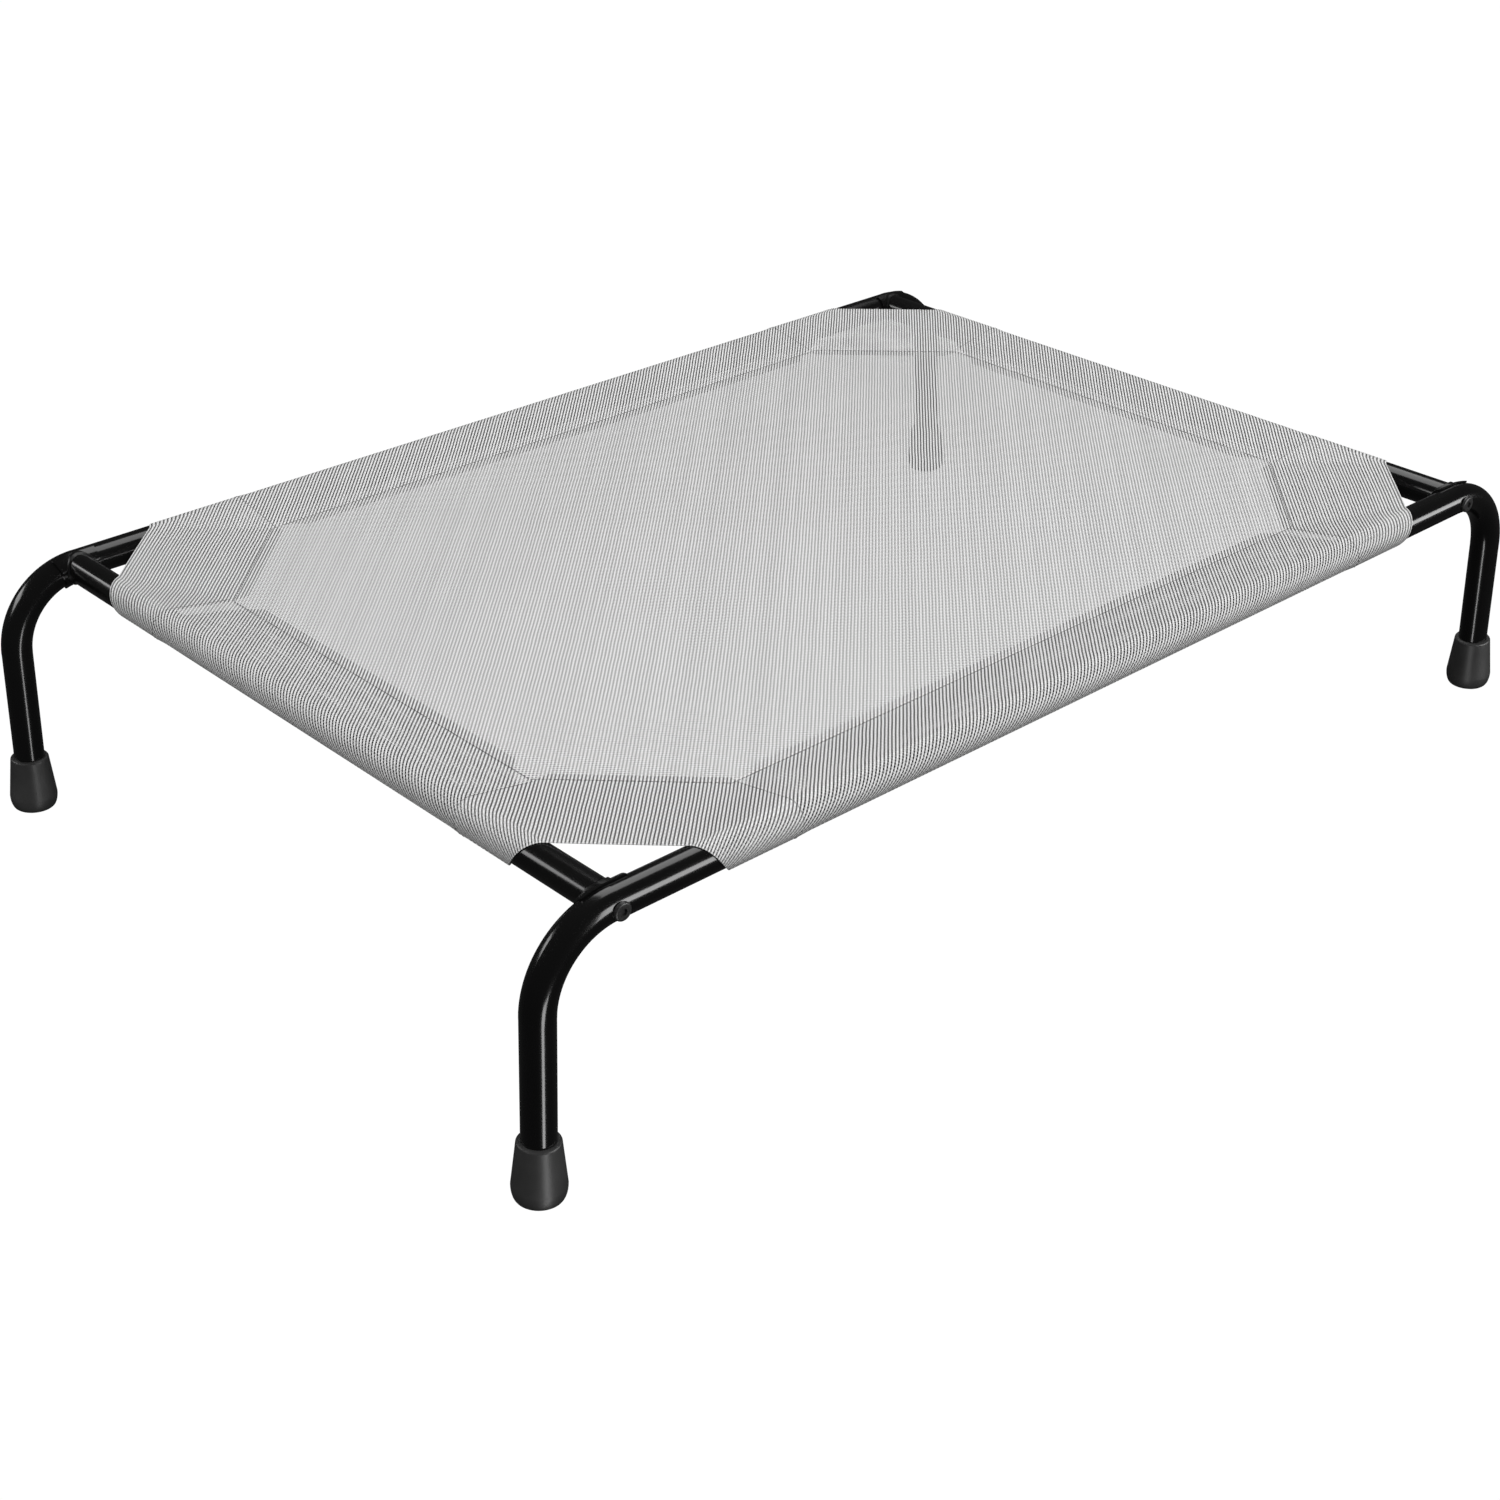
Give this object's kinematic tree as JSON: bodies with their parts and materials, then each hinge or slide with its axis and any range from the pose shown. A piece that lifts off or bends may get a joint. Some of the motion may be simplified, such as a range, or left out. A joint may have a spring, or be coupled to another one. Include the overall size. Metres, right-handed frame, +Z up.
{
  "type": "dog bed with frame",
  "caption": "Raised pet bed: a bolted black steel tube frame on rubber-capped legs, with a grey see-through mesh cover folded and sewn round its rails.",
  "frame": {"origin": "on the floor, under the middle of the bed", "axes": "+X along the long rails to the right, +Y along the short rails to the back, +Z up"},
  "size_m": [1.1226, 0.736, 0.2163],
  "materials": {
    "frame_steel": "glossy black powder coat",
    "rubber_foot": "smooth moulded, dark grey, semi-matte",
    "fixing": "black oxide, satin",
    "mesh_fabric": "light grey ribbed open mesh of coated yarn, partly see-through"
  },
  "bodies": {
    "root": {"long_rail_front": "frame_steel", "long_rail_back": "frame_steel", "short_rail_left": "frame_steel", "short_rail_right": "frame_steel", "leg_front_left": "frame_steel", "leg_front_right": "frame_steel", "leg_back_left": "frame_steel", "leg_back_right": "frame_steel", "foot_front_left": "rubber_foot", "foot_front_right": "rubber_foot", "foot_back_left": "rubber_foot", "foot_back_right": "rubber_foot", "saddle_front_left": "frame_steel", "saddle_front_right": "frame_steel", "saddle_back_left": "frame_steel", "saddle_back_right": "frame_steel", "weld_front_left": "frame_steel", "weld_front_right": "frame_steel", "weld_back_left": "frame_steel", "weld_back_right": "frame_steel", "plug_front_left": "fixing", "plug_front_right": "fixing", "plug_back_left": "fixing", "plug_back_right": "fixing", "screw_front_left": "fixing", "screw_front_right": "fixing", "screw_back_left": "fixing", "screw_back_right": "fixing", "cover_panel": "mesh_fabric", "sleeve_front": "mesh_fabric", "sleeve_back": "mesh_fabric", "sleeve_left": "mesh_fabric", "sleeve_right": "mesh_fabric", "corner_fold_front_left": "mesh_fabric", "corner_fold_front_right": "mesh_fabric", "corner_fold_back_left": "mesh_fabric", "corner_fold_back_right": "mesh_fabric"}
  },
  "joints": []
}
